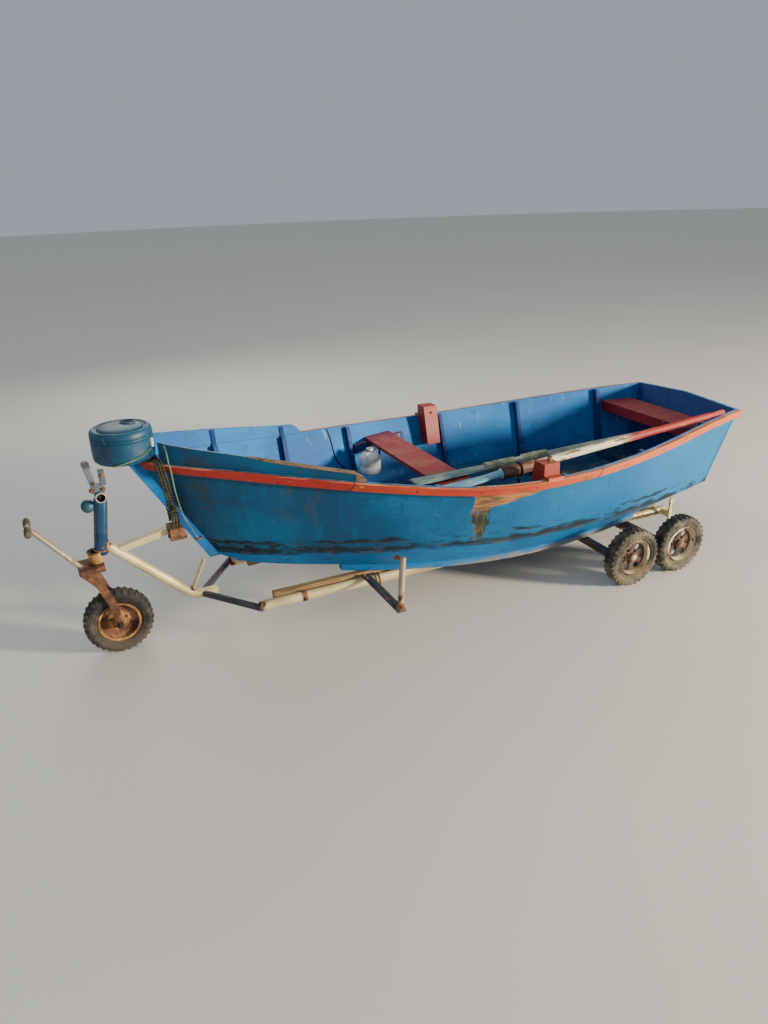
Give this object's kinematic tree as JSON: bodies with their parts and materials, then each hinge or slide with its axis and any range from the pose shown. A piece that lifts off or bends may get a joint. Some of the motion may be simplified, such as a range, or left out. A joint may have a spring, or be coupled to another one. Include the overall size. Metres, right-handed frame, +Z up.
{
  "type": "wooden rowing skiff on a launching trailer",
  "caption": "Open hard-chine wooden rowing skiff with oars and a bow float, standing on its beach launching trailer with a steering castor.",
  "frame": {"origin": "centre of the bounding box at the height of the ground under the tyres", "axes": "+X towards the bow and the castor, +Y to port, +Z up"},
  "size_m": [4.7982, 1.824, 1.395],
  "materials": {
    "blue_paint": "brushed blue gloss paint on planks, scuffed and faded",
    "bottom_paint": "brushed lighter blue paint, worn at the chine",
    "inside_paint": "light blue paint, chalky",
    "red_paint": "red paint worn to orange on the edges",
    "thwart_paint": "dusty red paint worn on the top",
    "bare_wood": "bare weathered wood",
    "float_plastic": "faded moulded plastic",
    "white_plastic": "translucent white moulded plastic",
    "rope": "twisted weathered rope",
    "oar_paint": "light blue and cream paint, worn, on round oars",
    "cream_steel": "galvanised tube with cream paint and rust at the ends",
    "dark_steel": "dark primer, rusty at the welds",
    "rusty_steel": "surface rust over old paint",
    "blue_steel": "glossy blue paint on steel tube",
    "tyre_rubber": "weathered rubber with dust",
    "rim_paint": "cream paint, rusty at the hub"
  },
  "bodies": {
    "boat_and_trailer": {"topside_port": "blue_paint", "topside_starboard": "blue_paint", "bilge_strake_port": "bottom_paint", "bilge_strake_starboard": "bottom_paint", "bottom_planking": "bottom_paint", "transom": "blue_paint", "stem": "bottom_paint", "keel": "bottom_paint", "rub_rail_port": "red_paint", "rub_rail_starboard": "red_paint", "washboard_port": "blue_paint", "washboard_starboard": "blue_paint", "frame_1": "inside_paint", "frame_2": "inside_paint", "frame_3": "inside_paint", "frame_4": "inside_paint", "frame_5": "inside_paint", "frame_6": "inside_paint", "centre_thwart": "thwart_paint", "stern_bench": "thwart_paint", "bow_plate": "inside_paint", "bow_float": "float_plastic", "oar_outer": "oar_paint", "oar_inner": "oar_paint", "bailer": "white_plastic", "bow_lashing": "rope", "painter": "rope", "side_rail_port": "cream_steel", "side_rail_starboard": "cream_steel", "drawbar": "cream_steel", "front_brace_port": "dark_steel", "front_brace_starboard": "dark_steel", "cross_bar_1": "dark_steel", "cross_bar_2": "dark_steel", "cross_bar_3": "dark_steel", "bunk_port": "bare_wood", "bunk_starboard": "bare_wood", "guide_port": "dark_steel", "guide_starboard": "dark_steel", "wheel_arm_fore_port": "dark_steel", "wheel_arm_fore_starboard": "dark_steel", "wheel_arm_aft_port": "dark_steel", "wheel_arm_aft_starboard": "dark_steel", "bow_strut": "cream_steel", "bow_chock": "bare_wood", "forefoot_strut": "cream_steel", "head_post": "blue_steel"},
    "wheel_fore_port": {"tyre_fore_port": "tyre_rubber", "rim_fore_port": "rim_paint"},
    "wheel_fore_starboard": {"tyre_fore_starboard": "tyre_rubber", "rim_fore_starboard": "rim_paint"},
    "wheel_aft_port": {"tyre_aft_port": "tyre_rubber", "rim_aft_port": "rim_paint"},
    "wheel_aft_starboard": {"tyre_aft_starboard": "tyre_rubber", "rim_aft_starboard": "rim_paint"},
    "castor_swivel": {"castor_fork": "rusty_steel"},
    "castor_wheel": {"castor_tyre": "tyre_rubber", "castor_rim": "rusty_steel"}
  },
  "joints": [
    {"name": "spin_fore_port", "type": "hinge", "parent": "boat_and_trailer", "child": "wheel_fore_port", "pos_m": [-1.1146, 0.862, 0.2], "axis": [0, 1, 0], "continuous": true},
    {"name": "spin_fore_starboard", "type": "hinge", "parent": "boat_and_trailer", "child": "wheel_fore_starboard", "pos_m": [-1.1146, -0.862, 0.2], "axis": [0, 1, 0], "continuous": true},
    {"name": "spin_aft_port", "type": "hinge", "parent": "boat_and_trailer", "child": "wheel_aft_port", "pos_m": [-1.5246, 0.862, 0.2], "axis": [0, 1, 0], "continuous": true},
    {"name": "spin_aft_starboard", "type": "hinge", "parent": "boat_and_trailer", "child": "wheel_aft_starboard", "pos_m": [-1.5246, -0.862, 0.2], "axis": [0, 1, 0], "continuous": true},
    {"name": "castor_steering", "type": "hinge", "parent": "boat_and_trailer", "child": "castor_swivel", "pos_m": [2.0754, 0, 0.6], "axis": [0, 0, 1], "range_deg": [-80, 80]},
    {"name": "castor_spin", "type": "hinge", "parent": "castor_swivel", "child": "castor_wheel", "pos_m": [2.0234, 0, 0.2], "axis": [0, 1, 0], "continuous": true}
  ]
}
